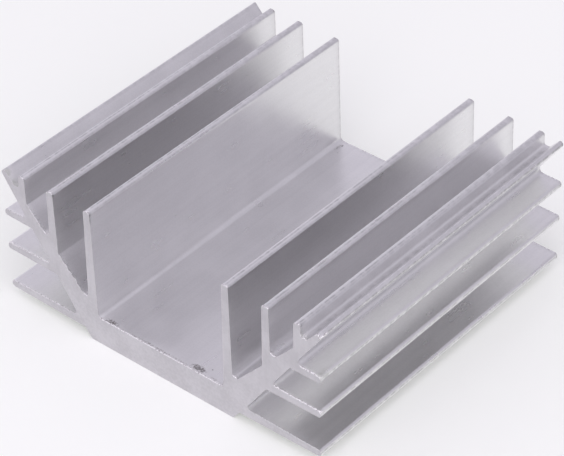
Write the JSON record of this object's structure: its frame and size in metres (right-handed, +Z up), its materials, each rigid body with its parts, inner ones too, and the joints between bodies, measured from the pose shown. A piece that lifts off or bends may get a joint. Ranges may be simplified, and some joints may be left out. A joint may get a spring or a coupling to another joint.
{
  "type": "extruded heat sink",
  "caption": "Extruded aluminium heat sink: flat channel for a power device between upright fins, slanting side arms with level ribs and forked ends.",
  "frame": {"origin": "centre of the underside of the foot, halfway along the length", "axes": "+X across the fins, +Y along the extrusion from the sawn front end to the rear end, +Z up from the underside to the fin tops"},
  "size_m": [0.08, 0.075, 0.032],
  "materials": {
    "mill_aluminium": "mill finish, drawn along the length, sawn ends"
  },
  "bodies": {
    "root": {"heat_sink": "mill_aluminium"}
  },
  "joints": []
}
